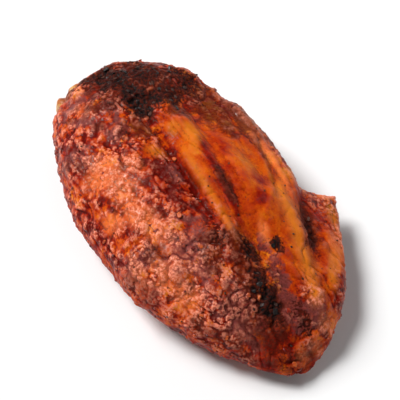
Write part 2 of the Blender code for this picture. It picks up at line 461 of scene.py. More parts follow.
class Relaxer:
    """Averages values over a mesh's edges, to tell a bump from its surroundings."""

    def __init__(self, mesh):
        ends = np.empty(len(mesh.edges) * 2, np.int32)
        mesh.edges.foreach_get("vertices", ends)
        self.a, self.b = ends.reshape(-1, 2).T
        self.count = len(mesh.vertices)
        self.degree = self.sums(np.ones(len(self.a)), np.ones(len(self.a)))

    def sums(self, at_a, at_b):
        return np.bincount(self.a, at_b, self.count) + np.bincount(self.b, at_a, self.count)

    def relaxed(self, values, rounds):
        for _ in range(rounds):
            values = 0.5 * values + 0.5 * self.sums(values[self.a], values[self.b]) / self.degree
        return values

    def relaxed_points(self, points, rounds):
        return np.stack([self.relaxed(points[:, i], rounds) for i in range(3)], axis=1)


def fold_skin(mesh):
    """Crisp furrows, the ridge between them, and slack wrinkles: relief a few millimetres across."""
    p, n = points_of(mesh), normals_of(mesh)
    x, y, z = p.T
    top = ramp(0.05, 0.6, n[:, 2])
    sway = 0.7 * soft_noise(p, 8.0, 5) + 0.25 * soft_noise(p, 3.0, 6)
    yy = y + sway
    deep = -0.6 * bell(yy, furrow_near(x), 1.8) * span(x, -10, 11, 6)
    deep += 0.45 * bell(yy, ridge(x), 0.8) * span(x, -4, 17, 4)
    deep -= 0.55 * bell(yy, ridge(x), 2.0) * span(x, -24, -9, 5)
    deep -= 0.45 * bell(yy, furrow_far(x) - 0.8, 0.9) * span(x, -3, 14, 5)
    deep += 0.9 * bell(yy, brow(x), 1.5) * span(x, 11, 21, 4)
    deep += 0.6 * bell(yy, wrist_ridge(x), 1.4) * span(x, 22, 35, 4)
    deep -= 0.7 * bell(yy, 14.6 - 0.47 * (x - 18), 1.5) * span(x, 15, 27, 4)
    far_edge = 18.3 - 0.012 * (x + 16) ** 2
    deep += 0.5 * bell(yy, far_edge, 1.1) * span(x, -20, 13, 4)
    swells = 0.50 * layered_noise(p, 12.0, 11, layers=2)
    flow = warped(p * (0.6, 1.0, 1.0), 7.0, 2.0, 3)
    creases = 1 - np.abs(layered_noise(flow, 5.2, 23, layers=3)) * 2.4
    panel = ramp(2.0, 6.0, y - furrow_near(x))
    slack = np.clip(creases, 0, 1) ** 3 * mix(1.0, 0.35, panel * span(x, -12, 18, 6))
    lumps = layered_noise(warped(p, 3.0, 0.8, 8), 3.2, 29, layers=2)
    move = deep * top + swells - 0.42 * slack + lumps * mix(0.50, 0.14, panel)
    move += 1.3 * span(x, -12, 11, 6) * ramp(0.1, 0.8, n[:, 1]) * ramp(4, 8, z)
    move_to(mesh, p + n * move[:, None])


COLLAR_X = -33.0  # the cut elbow end lies beyond this


def dress_elbow(mesh, trees):
    """Draws the skin's cut end onto the bones in a ragged collar. Gives each point's distance from a bone."""
    p, n = points_of(mesh), normals_of(mesh)
    gap = np.full(len(p), 99.0)
    pull = np.zeros_like(p)
    ragged = layered_noise(p, 2.2, 71, layers=3)
    for i in np.flatnonzero(p[:, 0] < COLLAR_X):
        found = min((tree.find_nearest(Vector(p[i]) * MM) for tree in trees), key=lambda hit: hit[3])
        gap[i] = found[3] / MM
        pull[i] = np.array(found[0]) / MM - p[i]
    reach = ramp(2.6, 0.5, gap + 0.9 * ragged) * ramp(COLLAR_X, COLLAR_X - 3, p[:, 0])
    moved = p + pull * (reach * 1.08)[:, None] + n * (0.5 * bell(gap, 1.2, 0.9) * reach)[:, None]
    fibres = 1 - np.abs(soft_noise(p * (0.35, 1.0, 1.0), 0.95, 73)) * 2
    moved += n * (0.28 * fibres * ramp(5.0, 2.0, gap + ragged))[:, None]
    move_to(mesh, moved)
    return gap


def texture_skin(mesh, gap):
    """Grain, blisters, pores and charred crust, with the attributes that the material reads, among them painted shade
    in the hollows and furrows and painted highlights.

    gap is each point's distance from a bone at the cut elbow end.
    """
    relaxer = Relaxer(mesh)
    p, n = points_of(mesh), normals_of(mesh)
    x, y, z = p.T
    wander = layered_noise(p, 6.0, 41, layers=3)
    ragged = 0.5 * layered_noise(p, 4.5, 43, layers=4) + 0.35 * layered_noise(p, 1.4, 44, layers=2)
    top = ramp(-0.15, 0.45, n[:, 2])

    panel = ramp(2.4, 5.4, y - furrow_near(x) + 1.3 * wander) * ramp(19.5, 15.5, y + 0.5 * wander)
    panel *= ramp(36, 28, x) * ramp(-28, -20, x + 3 * wander) * top
    char = patches(x, y, CHAR_PATCHES, ragged) * ramp(-0.2, 0.35, n[:, 2] + 0.3 * ragged)
    brown = patches(x, y, BROWN_PATCHES, 0.9 * ragged, 0.4, 1.3) * top
    fat_and_highlight = patches(x, y, FAT_PATCHES, 0.6 * ragged, 0.3, 1.2) * top
    fat_and_highlight = np.maximum(fat_and_highlight, 0.80 * bell(y + 0.7 * wander, ridge(x), 0.85) * span(x, -6, 17, 3) * top)
    # Painted highlight: a yellow streak along the tendon's ridge, where the lamps reflect, put into both the fat mask
    # and the highlight mask
    highlight_streak = bell(y + 0.5 * wander, wrist_ridge(x), 1.5) * span(x, 11, 34, 3) * top
    fat_and_highlight = np.maximum(fat_and_highlight, (1.0 + 0.5 * ragged) * highlight_streak)
    # Painted highlights: salmon patches where the crust and the rims catch the lamps
    painted_highlight = patches(x, y, HIGHLIGHT_PATCHES, 0.8 * ragged, 0.2, 1.5) * ramp(-0.5, 0.2, n[:, 2])
    painted_highlight = np.maximum(painted_highlight, (0.8 + 0.6 * ragged) * highlight_streak)
    red = patches(x, y, RED_PATCHES, ragged, 0.2, 1.5)
    dusk = patches(x, y, DUSK_PATCHES, 1.3 * ragged, 0.2, 1.5) * ramp(-0.3, 0.2, n[:, 2])
    meat = ramp(4.2, 2.2, gap + 1.6 * ragged)
    # Painted shade: deep red in the furrows and at the wrist tip, where the slopes turn away from the lamps; sauce also
    # pools in the furrows
    maroon_sauce_and_shade = bell(y + 1.2 * wander, -7.0 - 0.14 * x, 3.3) * span(x, -6, 12, 4) * top
    maroon_sauce_and_shade = np.maximum(maroon_sauce_and_shade, 0.8 * bell(y + 0.4 * wander, ridge(x) - 2.0, 1.0) * span(x, -7, 12, 3) * top)
    maroon_sauce_and_shade = np.maximum(maroon_sauce_and_shade, bell(y, furrow_far(x) - 0.5, 0.9) * span(x, -5, 14, 4) * top)
    maroon_sauce_and_shade = np.maximum(maroon_sauce_and_shade, ramp(1.4, 0.5, patch(x, y, (39.0, -9.0), (6.5, 5.0), 25) + 0.8 * ragged))

    # Relief. Grains: lumps of crust with narrow gaps. The panel is smoother, with low follicle bumps.
    clumps = ramp(-0.35, 0.45, layered_noise(p, 3.4, 47, layers=3))
    slope = ramp(0.3, 2.2, y - furrow_near(x) + 0.8 * wander) * ramp(6, 4, y - furrow_near(x)) * span(x, -16, 16, 4)
    smooth = np.clip(0.95 * panel + 0.85 * slope, 0, 1) * (1 - 0.75 * brown) * (1 - 0.7 * np.clip(dusk, 0, 1))
    grainy = np.clip(1.0 - smooth - meat, 0.05, 1) * (0.35 + 0.75 * clumps)
    near, second, own = cell_noise(warped(p, 1.5, 0.5, 7), 1.10, 91)
    pebble = np.clip(1 - (near / 0.62) ** 2, 0, 1) * own**2
    small_near, _, small_own = cell_noise(warped(p, 0.9, 0.25, 9), 0.70, 101)
    crumb = np.clip(1 - (small_near / 0.62) ** 2, 0, 1) * (0.2 + 0.8 * small_own)
    billow = 1 - np.abs(layered_noise(warped(p, 2.4, 0.8, 15), 2.3, 111, layers=3)) * 2.4
    follicle_near, _, follicle_own = cell_noise(warped(p, 5.0, 0.8, 17), 3.1, 121, spread=0.55)
    follicle = np.clip(1 - (follicle_near / 0.42) ** 2, 0, 1) * (0.4 + 0.6 * follicle_own)
    blister_near, _, blister_own = cell_noise(warped(p, 4.0, 0.8, 13), 4.8, 131)
    blistery = bell(x, 14, 14) * ramp(-12, -17, y) + 0.35
    blister = np.clip(1 - (blister_near / 0.46) ** 2, 0, 1) ** 0.6 * ramp(0.95, 0.6, 1.3 - blister_own * blistery)
    fine = layered_noise(p, 0.9, 61, layers=2)

    rise = grainy * (0.26 * pebble + 0.26 * crumb + 0.10 * np.clip(billow, -0.8, 1))
    rise += 0.22 * follicle * (1 - 0.6 * grainy)
    rise += 0.55 * blister
    rise += 0.07 * fine
    crackle = np.clip(second - near, 0, 0.3) / 0.3
    rise += char * (0.40 * fine + 0.30 * crackle - 0.15)
    move_to(mesh, p + n * rise[:, None])

    moved, n = points_of(mesh), normals_of(mesh)
    small_scale = ((moved - relaxer.relaxed_points(moved, 6)) * n).sum(axis=1)
    mid_scale = ((moved - relaxer.relaxed_points(moved, 40)) * n).sum(axis=1)
    # Painted shade: the recesses are measured here so the material can darken them towards deep red, where sauce also
    # lies
    pit_sauce_and_shade = np.clip(-mid_scale / 0.20 + 0.15, 0, 1)
    # Painted highlight: what stands out is measured here so the material can lighten it
    crest_highlight = np.clip(mid_scale / 0.22, 0, 1)

    # Mottling: spots of deeper and of paler glaze, and a painted highlight, a whitish-pink bloom, on what stands out
    spot_near, spot_second, spot_own = cell_noise(warped(p, 2.0, 0.9, 21), 2.3, 151)
    spots = (2 * spot_own - 1) * ramp(0.02, 0.30, spot_second - spot_near)
    mottle = 0.6 * spots + 0.7 * layered_noise(p, 2.2, 161, layers=3)
    # Painted highlight: where the whitish-pink bloom reaches further over the crust
    highlight_reach = 0.5 * span(x, 8, 34, 6) * ramp(-6, -11, y) + 0.35 * span(x, -16, 8, 5) * span(y, -16, -12, 3)
    bloom_highlight = 0.8 * mid_scale / 0.20 + 0.8 * layered_noise(p, 1.8, 171, layers=2) + highlight_reach - 0.35 * np.clip(mottle, 0, 1)
    bloom_highlight = ramp(0.0, 0.9, bloom_highlight) * np.clip(grainy * 1.6, 0, 1) * (1 - 0.85 * np.clip(maroon_sauce_and_shade, 0, 1)) * top

    blush = layered_noise(p, 9.0, 45, layers=2)
    # The tone is lightened under the painted highlights
    cook = 0.52 + 0.30 * wander + 0.14 * blush - 0.16 * panel - 0.16 * painted_highlight
    cook = mix(cook, 0.70 + 0.12 * wander, 0.85 * np.clip(red, 0, 1))
    # Painted shade: the furrows and the wrist tip go deep red
    cook = mix(cook, 0.92 + 0.15 * wander, 0.80 * np.clip(maroon_sauce_and_shade, 0, 1))
    wet = 0.45 - 0.55 * panel - 0.3 * fat_and_highlight - 0.35 * maroon_sauce_and_shade + 0.4 * wander + 0.3 * blister + 0.35 * painted_highlight
    kept = {
        "cook": cook,
        "pit_sauce_and_shade": pit_sauce_and_shade * grainy * (1 - 0.6 * painted_highlight),
        "crest_highlight": crest_highlight * grainy,
        "mottle": 0.5 + 0.5 * mottle,
        "bloom_highlight": bloom_highlight,
        "edge": 0.5 + small_scale / 0.12,
        "grain": grainy,
        "char": char,
        "brown": brown,
        "dusk": dusk,
        "fat_and_highlight": fat_and_highlight,
        "painted_highlight": painted_highlight,
        "meat": meat,
        "wet": wet,
    }
    for name, values in kept.items():
        keep(mesh, name, values)


BONE_VOXEL = 0.34


def bone_piece(name, cad):
    """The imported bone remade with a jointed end: condyles with a groove on the ulna, a dish on the radius."""
    piece = remeshed(name + "_bone", cad.data.copy(), BONE_VOXEL, 4)
    mesh = piece.data
    p, n = points_of(mesh), normals_of(mesh)
    tip = p[:, 0].min()
    head = p[p[:, 0] < tip + 6.0].mean(axis=0)
    across, upward = p[:, 1] - head[1], p[:, 2] - head[2]
    face = ramp(tip + 5.0, tip + 1.5, p[:, 0])
    if name == "ulna":
        groove = bell(across + 0.35 * upward, -0.4, 1.3)
        shape = face * (-1.5 * groove + 0.5 * bell(across, 2.9, 1.6) + 0.4 * bell(across, -3.4, 1.4))
        shape += 0.7 * bell(upward, 3.6, 1.6) * ramp(tip + 7, tip + 3, p[:, 0])
    else:
        off_axis = np.hypot(across, upward)
        groove = bell(off_axis, 0.0, 2.0)
        shape = face * (-1.2 * groove + 0.35 * bell(off_axis, 3.0, 0.9))
        shape += 0.4 * bell(across + upward, 4.0, 1.6) * ramp(tip + 7, tip + 3, p[:, 0])
    rough = layered_noise(p, 2.6, 201, layers=3)
    pores, _, pore_size = cell_noise(p, 1.3, 211)
    pitted = np.clip(1 - pores / 0.30, 0, 1) * ramp(0.45, 0.8, pore_size) * (1 - 0.6 * face)
    move_to(mesh, p + n * (shape + 0.30 * rough - 0.35 * pitted)[:, None])
    beyond = p[:, 0] - tip + 1.4 * rough
    keep(mesh, "glaze", ramp(3.0, 7.0, beyond) + 0.8 * face * groove + 0.7 * pitted + 0.35 * rough)
    keep(mesh, "cap", ramp(4.5, 1.5, beyond) * (1 - groove))
    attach(piece, BODY)
    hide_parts(name)
    return piece


# ---------------------------------------------------------------------------
# Small things on the skin: glaze beads, pepper, chilli and lifted flakes of char
# ---------------------------------------------------------------------------


def spots_on(mesh, weight, count, spacing, seed):
    """Up to count of the mesh's points, likelier where weight is high and at least spacing apart."""
    generator = np.random.default_rng(seed)
    points = points_of(mesh)
    weight = np.clip(weight, 0, None) ** 1.5
    drawn = generator.choice(len(points), size=min(count * 6, np.count_nonzero(weight)), replace=False,
                             p=weight / weight.sum())
    kept = []
    for i in drawn:
        if all(np.linalg.norm(points[i] - points[j]) > spacing for j in kept[-400:]):
            kept.append(i)
        if len(kept) == count:
            break
    return points[kept], normals_of(mesh)[kept], generator


def frame_on(normal, turn):
    """Axes for a thing lying on the skin: two along it, turned at random, and the normal."""
    side = np.cross(normal, (0.31, 0.52, 0.80))
    side /= np.linalg.norm(side)
    other = np.cross(normal, side)
    first = math.cos(turn) * side + math.sin(turn) * other
    return np.stack([first, np.cross(normal, first), normal])


def joined(name, lumps, material):
    """One piece from many small meshes. Each lump is its points, its faces and its own number from 0 to 1."""
    points, faces, own = [], [], []
    for corners, sides, number in lumps:
        base = len(points)
        corners[:, 2] = np.maximum(corners[:, 2], 0.0)
        points.extend(corners * MM)
        faces.extend([[base + i for i in side] for side in sides])
        own.extend([number] * len(corners))
    mesh = bpy.data.meshes.new(name)
    mesh.from_pydata([tuple(p) for p in points], [], faces)
    mesh.shade_smooth()
    keep(mesh, "own", np.array(own))
    mesh.materials.append(material)
    piece = bpy.data.objects.new(name, mesh)
    bpy.context.scene.collection.objects.link(piece)
    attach(piece, BODY)
    return piece


def ball(subdivisions):
    """Points and faces of a round mesh of radius 1."""
    bm = bmesh.new()
    bmesh.ops.create_icosphere(bm, subdivisions=subdivisions, radius=1.0)
    points = np.array([v.co[:] for v in bm.verts])
    faces = [[v.index for v in face.verts] for face in bm.faces]
    bm.free()
    return points, faces


def lump(shape, place, axes, size, sink, dented, seed):
    """A rounded or chipped grain: the ball squashed to size along its axes and sunk into the skin."""
    points = shape * (1 + dented * soft_noise(shape + seed * 3.7, 0.8, seed))[:, None] * size
    return place + points @ axes + axes[2] * (size[2] * (1 - 2 * sink))


def plate(place, axes, length, width, thick, lift, curl, seed, steps=5):
    """A thin curled flake with a ragged outline, lifted at one end."""
    u, v = np.meshgrid(np.linspace(-1, 1, steps), np.linspace(-1, 1, steps), indexing="ij")
    u, v = u.ravel(), v.ravel()
    flat = np.stack([u * 3.1, v * 3.1, np.full_like(u, seed)], axis=1)
    rough = 1 + 0.28 * soft_noise(flat, 1.1, seed % 97)
    round_off = 1 - 0.22 * (u * v) ** 2
    x, y = u * length / 2 * rough * round_off, v * width / 2 * rough * round_off
    z = lift * (u + 1) / 2 + curl * (u * u + 0.6 * v * v) + 0.10 * soft_noise(flat, 0.9, 5 + seed % 97)
    top = np.stack([x, y, z + thick / 2], axis=1)
    under = np.stack([x, y, z - thick / 2], axis=1)
    count, faces = steps * steps, []
    for i in range(steps - 1):
        for j in range(steps - 1):
            a = i * steps + j
            quad = [a, a + steps, a + steps + 1, a + 1]
            faces += [quad, [k + count for k in reversed(quad)]]
    rim = [i * steps for i in range(steps)] + [(steps - 1) * steps + j for j in range(1, steps)]
    rim += [i * steps + steps - 1 for i in range(steps - 2, -1, -1)] + list(range(steps - 2, 0, -1))
    for a, b in zip(rim, rim[1:] + rim[:1]):
        faces.append([a, b, b + count, a + count][::-1])
    return place + np.concatenate([top, under]) @ axes, faces


def attribute_of(mesh, name):
    values = np.empty(len(mesh.vertices), np.float32)
    mesh.attributes[name].data.foreach_get("value", values)
    return values.astype(float)


DRIP = (41.0, -8.0, 1.8)  # where glaze has run together under the wrist end


def add_beads(mesh, material):
    """Beads of glaze along the lower edges and in the furrows, and one drop under the wrist end."""
    p, n = points_of(mesh), normals_of(mesh)
    char, panel = attribute_of(mesh, "char"), 1 - attribute_of(mesh, "grain")
    low = bell(n[:, 2], -0.10, 0.35) * (p[:, 2] > 2.0)
    furrow = bell(p[:, 1], furrow_near(p[:, 0]) - 1.0, 2.0) * (n[:, 2] > 0.5) * span(p[:, 0], -18, 14, 5)
    weight = (low + 0.7 * furrow + 0.04) * (1 - char) * (1 - 0.9 * panel)
    places, normals, generator = spots_on(mesh, weight, 170, 1.2, 301)
    shape, faces = ball(2)
    lumps = []
    for k, (place, normal) in enumerate(zip(places, normals)):
        size = 0.20 + 0.26 * generator.random() ** 2.2
        long = size * generator.uniform(1.0, 1.5)
        axes = frame_on(normal, generator.uniform(0, math.tau))
        points = lump(shape, place, axes, np.array((long, size, size * 0.7)), 0.45, 0.15, k)
        lumps.append((points, faces, generator.random()))
    drip = np.argmin(np.linalg.norm(p - DRIP, axis=1))
    points = lump(shape, p[drip], frame_on(n[drip], 0.0), np.array((1.5, 1.1, 0.8)), 0.4, 0.15, 7)
    lumps.append((points, faces, 0.2))
    joined("glaze_beads", lumps, material)


def add_pepper(mesh, material):
    """Coarse pepper: chipped dark grains bedded in the glaze."""
    n = normals_of(mesh)
    weight = ramp(-0.1, 0.6, n[:, 2]) * (0.25 + attribute_of(mesh, "pit_sauce_and_shade")) * (1 - attribute_of(mesh, "char"))
    places, normals, generator = spots_on(mesh, weight, 90, 1.8, 311)
    shape, faces = ball(1)
    lumps = []
    for k, (place, normal) in enumerate(zip(places, normals)):
        size = generator.uniform(0.10, 0.24)
        axes = frame_on(normal, generator.uniform(0, math.tau))
        squash = np.array((size * generator.uniform(0.9, 1.5), size, size * generator.uniform(0.5, 0.8)))
        lumps.append((lump(shape, place, axes, squash, 0.3, 0.45, 400 + k), faces, generator.random()))
    joined("pepper", lumps, material)


def add_flakes(name, mesh, weight, count, seed, lengths, lift, curl, material):
    """Thin curled flakes lying on the skin."""
    places, normals, generator = spots_on(mesh, weight, count, 1.0, seed)
    lumps = []
    for k, (place, normal) in enumerate(zip(places, normals)):
        length = generator.uniform(*lengths)
        width = length * generator.uniform(0.45, 0.85)
        axes = frame_on(normal, generator.uniform(0, math.tau))
        rise = lift * generator.random() * length
        points, faces = plate(place + normal * 0.05, axes, length, width, 0.09, rise,
                              curl * generator.uniform(-1, 1), seed + k)
        lumps.append((points, faces, generator.random()))
    joined(name, lumps, material)


# ---------------------------------------------------------------------------
# Materials
# ---------------------------------------------------------------------------


def new_material(name):
    material = bpy.data.materials.new(name)
    material.use_nodes = True
    nodes = material.node_tree.nodes
    return material, nodes, material.node_tree.links, nodes["Principled BSDF"]


def attribute(nodes, name):
    node = nodes.new("ShaderNodeAttribute")
    node.attribute_name = name
    return node.outputs["Fac"]


def noise_node(nodes, links, size, detail=3.0, roughness=0.6):
    """Noise with features about size millimetres across."""
    where = nodes.new("ShaderNodeTexCoord")
    node = nodes.new("ShaderNodeTexNoise")
    node.inputs["Scale"].default_value = 1 / (size * MM)
    node.inputs["Detail"].default_value = detail
    node.inputs["Roughness"].default_value = roughness
    links.new(where.outputs["Object"], node.inputs["Vector"])
    return node.outputs["Fac"]


def maths(nodes, links, operation, first, second=0.0, clamp=False):
    node = nodes.new("ShaderNodeMath")
    node.operation = operation
    node.use_clamp = clamp
    for socket, value in zip(node.inputs, (first, second)):
        if isinstance(value, (int, float)):
            socket.default_value = value
        else:
            links.new(value, socket)
    return node.outputs[0]


def map_range(nodes, links, value, low, high, to_low=0.0, to_high=1.0):
    node = nodes.new("ShaderNodeMapRange")
    node.interpolation_type = "SMOOTHSTEP"
    for key, number in (("From Min", low), ("From Max", high), ("To Min", to_low), ("To Max", to_high)):
        node.inputs[key].default_value = number
    links.new(value, node.inputs["Value"])
    return node.outputs["Result"]


def colour_ramp(nodes, links, value, stops):
    node = nodes.new("ShaderNodeValToRGB")
    elements = node.color_ramp.elements
    while len(elements) < len(stops):
        elements.new(0.5)
    for element, (place, colour) in zip(elements, stops):
        element.position = place
        element.color = (*colour, 1.0)
    links.new(value, node.inputs["Fac"])
    return node.outputs["Color"]


def mix_colour(nodes, links, share, first, second):
    node = nodes.new("ShaderNodeMix")
    node.data_type = "RGBA"
    node.clamp_factor = True
    for socket, value in zip((node.inputs[0], node.inputs[6], node.inputs[7]), (share, first, second)):
        if isinstance(value, (int, float)):
            socket.default_value = value
        elif isinstance(value, tuple):
            socket.default_value = (*value, 1.0)
        else:
            links.new(value, socket)
    return node.outputs[2]


# Colours, linear
YELLOW = (0.60, 0.155, 0.008)
GOLD = (0.56, 0.090, 0.003)
ORANGE = (0.44, 0.042, 0.002)
RED = (0.26, 0.008, 0.002)
MAROON = (0.105, 0.002, 0.001)
# The salmon below is a painted highlight colour
SALMON_HIGHLIGHT = (0.84, 0.205, 0.062)
# The pink below is a painted highlight colour, for glints on the crests
PINK_GLINT = (0.82, 0.270, 0.165)
DUSK = (0.190, 0.046, 0.040)
MEAT_PALE = (0.42, 0.175, 0.070)
MEAT_RED = (0.24, 0.050, 0.016)
MEAT_BROWN = (0.11, 0.024, 0.010)
CRUST_BROWN = (0.085, 0.009, 0.004)
CHAR_BROWN = (0.064, 0.008, 0.004)
CHAR_BLACK = (0.010, 0.007, 0.007)


def skin_material():
    material, nodes, links, shader = new_material("roast_skin")
    cook, pit_sauce_and_shade, crest_highlight, painted_highlight, dusk = (attribute(nodes, name) for name in ("cook", "pit_sauce_and_shade", "crest_highlight", "painted_highlight", "dusk"))
    char, brown, fat_and_highlight, wet, edge = (attribute(nodes, name) for name in ("char", "brown", "fat_and_highlight", "wet", "edge"))
    grain, meat, mottle, bloom_highlight = (attribute(nodes, name) for name in ("grain", "meat", "mottle", "bloom_highlight"))
    speckle = noise_node(nodes, links, 0.45, 3.0, 0.7)
    cloud = noise_node(nodes, links, 4.0, 4.0, 0.6)

    def times(value, factor):
        return maths(nodes, links, "MULTIPLY", value, factor)

    def plus(first, second):
        return maths(nodes, links, "ADD", first, second)

    spread_speckle = times(map_range(nodes, links, speckle, 0.3, 0.7, -0.5, 0.5), map_range(nodes, links, grain, 0.0, 0.6, 0.45, 1.0))
    # Painted shade: the tone goes deep red in the recesses, where sauce also lies
    tone = plus(cook, times(pit_sauce_and_shade, 0.62))
    # Painted highlight: lighter on the crests
    tone = plus(tone, times(crest_highlight, -0.10))
    tone = plus(tone, times(spread_speckle, 0.34))
    spread_mottle = map_range(nodes, links, mottle, 0.15, 0.85, -0.38, 0.5)
    tone = plus(tone, times(spread_mottle, map_range(nodes, links, grain, 0.1, 0.5, 0.14, 0.95)))
    tone = maths(nodes, links, "ADD", tone, map_range(nodes, links, cloud, 0.3, 0.7, -0.2, 0.2), clamp=True)
    colour = colour_ramp(
        nodes, links, tone, [(0.0, YELLOW), (0.18, GOLD), (0.42, ORANGE), (0.72, RED), (0.98, MAROON)]
    )
    dull = plus(plus(dusk, times(spread_speckle, 0.5)), times(spread_mottle, 0.8))
    dull = map_range(nodes, links, dull, 0.15, 0.95, 0.0, 0.80)
    colour = mix_colour(nodes, links, dull, colour, DUSK)
    # Painted highlight: salmon where the crust and the rims catch the lamps
    colour = mix_colour(nodes, links, times(painted_highlight, map_range(nodes, links, speckle, 0.35, 0.6, 0.25, 0.75)), colour, SALMON_HIGHLIGHT)
    # Yellow fat, with the painted highlight streak along the tendon's ridge
    colour = mix_colour(nodes, links, times(fat_and_highlight, map_range(nodes, links, cloud, 0.35, 0.55, 0.45, 0.9)), colour, YELLOW)
    flesh = colour_ramp(nodes, links, cloud, [(0.34, MEAT_BROWN), (0.50, MEAT_RED), (0.66, MEAT_PALE)])
    colour = mix_colour(nodes, links, map_range(nodes, links, meat, 0.2, 0.9, 0.0, 0.9), colour, flesh)
    # Browned crust, with painted shade at the near lower edge of the wrist half
    brown_edge = plus(brown, times(spread_speckle, 0.5))
    colour = mix_colour(nodes, links, map_range(nodes, links, brown_edge, 0.2, 0.95, 0.0, 0.85), colour, CRUST_BROWN)
    # Painted highlight: whitish-pink glints on the crests, in dots set by the speckle noise
    tip_glints = times(bloom_highlight, map_range(nodes, links, edge, 0.35, 0.75, 0.15, 0.90))
    tip_glints = times(tip_glints, map_range(nodes, links, brown, 0.2, 0.9, 1.0, 0.45))
    colour = mix_colour(nodes, links, times(tip_glints, map_range(nodes, links, speckle, 0.40, 0.56, 0.2, 1.0)), colour, PINK_GLINT)
    char_edge = plus(char, times(spread_speckle, 0.5))
    # Painted highlight and painted shade on the char: its fine crests are kept lighter brown, its fine hollows go
    # blacker
    char_edge = plus(char_edge, map_range(nodes, links, edge, 0.2, 0.8, 0.18, -0.18))
    colour = mix_colour(nodes, links, map_range(nodes, links, char_edge, 0.02, 0.6), colour, CHAR_BROWN)
    colour = mix_colour(nodes, links, map_range(nodes, links, char_edge, 0.5, 1.2), colour, CHAR_BLACK)
    links.new(colour, shader.inputs["Base Color"])

    rough = map_range(nodes, links, char, 0.1, 0.8, 0.44, 0.62)
    rough = plus(rough, times(wet, -0.10))
    rough = plus(rough, times(spread_speckle, 0.14))
    links.new(rough, shader.inputs["Roughness"])
    coat = times(wet, map_range(nodes, links, char, 0.2, 0.8, 0.56, 0.2))
    coat = times(coat, map_range(nodes, links, speckle, 0.48, 0.62))
    links.new(coat, shader.inputs["Coat Weight"])
    shader.inputs["Coat Roughness"].default_value = 0.16
    shader.inputs["Coat IOR"].default_value = 1.40
    shader.inputs["Specular IOR Level"].default_value = 0.06
    shader.inputs["Specular Tint"].default_value = (1.0, 0.55, 0.38, 1.0)
    shader.inputs["Subsurface Weight"].default_value = 0.15
    shader.inputs["Subsurface Radius"].default_value = (1.0, 0.20, 0.08)
    shader.inputs["Subsurface Scale"].default_value = 1.0 * MM

    bump = nodes.new("ShaderNodeBump")
    bump.inputs["Strength"].default_value = 0.6
    bump.inputs["Distance"].default_value = 0.14 * MM
    links.new(noise_node(nodes, links, 0.36, 2.0, 0.6), bump.inputs["Height"])
    links.new(bump.outputs["Normal"], shader.inputs["Normal"])
    return material


def speck_material(name, dark, middle, highlight_reach, rough, size, coat=0.0):
    """A finish for small things: each has its own shade, mottled by noise of the given size."""
    material, nodes, links, shader = new_material(name)
    own = attribute(nodes, "own")
    cloud = noise_node(nodes, links, size, 3.0, 0.6)
    tone = maths(nodes, links, "ADD", own, map_range(nodes, links, cloud, 0.3, 0.7, -0.3, 0.3), clamp=True)
    links.new(colour_ramp(nodes, links, tone, [(0.1, dark), (0.5, middle), (0.9, highlight_reach)]), shader.inputs["Base Color"])
    links.new(map_range(nodes, links, cloud, 0.3, 0.7, rough, rough + 0.2), shader.inputs["Roughness"])
    shader.inputs["Coat Weight"].default_value = coat
    shader.inputs["Coat Roughness"].default_value = 0.10
    shader.inputs["Specular IOR Level"].default_value = 0.3
    bump = nodes.new("ShaderNodeBump")
    bump.inputs["Strength"].default_value = 0.4
    bump.inputs["Distance"].default_value = 0.05 * MM
    links.new(cloud, bump.inputs["Height"])
    links.new(bump.outputs["Normal"], shader.inputs["Normal"])
    return material


IVORY = (0.60, 0.31, 0.10)
HONEY = (0.42, 0.120, 0.018)
SINEW = (0.27, 0.055, 0.010)
SCORCHED = (0.070, 0.017, 0.007)


def bone_material():
    material, nodes, links, shader = new_material("cooked_bone")
    glaze, cap = attribute(nodes, "glaze"), attribute(nodes, "cap")
    cloud = noise_node(nodes, links, 2.2, 4.0, 0.65)
    fine = noise_node(nodes, links, 0.5, 3.0, 0.6)
    tone = maths(nodes, links, "ADD", glaze, map_range(nodes, links, cloud, 0.25, 0.75, -0.25, 0.75))
    tone = maths(nodes, links, "ADD", tone, map_range(nodes, links, fine, 0.3, 0.7, -0.12, 0.12))
    tone = maths(nodes, links, "SUBTRACT", tone, maths(nodes, links, "MULTIPLY", cap, 0.18), clamp=True)
    colour = colour_ramp(nodes, links, tone, [(0.0, IVORY), (0.25, HONEY), (0.62, SINEW), (1.0, SCORCHED)])
    links.new(colour, shader.inputs["Base Color"])
    links.new(map_range(nodes, links, fine, 0.3, 0.7, 0.30, 0.52), shader.inputs["Roughness"])
    shader.inputs["Specular IOR Level"].default_value = 0.3
    shader.inputs["Subsurface Weight"].default_value = 0.2
    shader.inputs["Subsurface Radius"].default_value = (1.0, 0.5, 0.2)
    shader.inputs["Subsurface Scale"].default_value = 1.2 * MM
    bump = nodes.new("ShaderNodeBump")
    bump.inputs["Strength"].default_value = 0.5
    bump.inputs["Distance"].default_value = 0.12 * MM
    links.new(fine, bump.inputs["Height"])
    links.new(bump.outputs["Normal"], shader.inputs["Normal"])
    return material


# ---------------------------------------------------------------------------
# Stage: floor, light and camera
# ---------------------------------------------------------------------------

VIEW_AZIMUTH, VIEW_ELEVATION = 53.0, 54.0
LENS, SENSOR = 150.0, 36.0
FRAMED = 0.086  # how wide a stretch of the object's middle plane the picture takes in


def direction(azimuth, elevation):
    a, e = math.radians(azimuth), math.radians(elevation)
    return Vector((math.sin(a) * math.cos(e), -math.cos(a) * math.cos(e), math.sin(e)))


def add_camera(middle):
    data = bpy.data.cameras.new("camera")
    data.lens, data.sensor_width = LENS, SENSOR
    camera = bpy.data.objects.new("camera", data)
    bpy.context.scene.collection.objects.link(camera)
    back = direction(VIEW_AZIMUTH, VIEW_ELEVATION)
    camera.location = middle + back * (FRAMED * LENS / SENSOR)
    camera.rotation_mode = "QUATERNION"
    camera.rotation_quaternion = (-back).to_track_quat("-Z", "Y")
    data.clip_start, data.clip_end = 0.005, 20.0
    bpy.context.scene.camera = camera


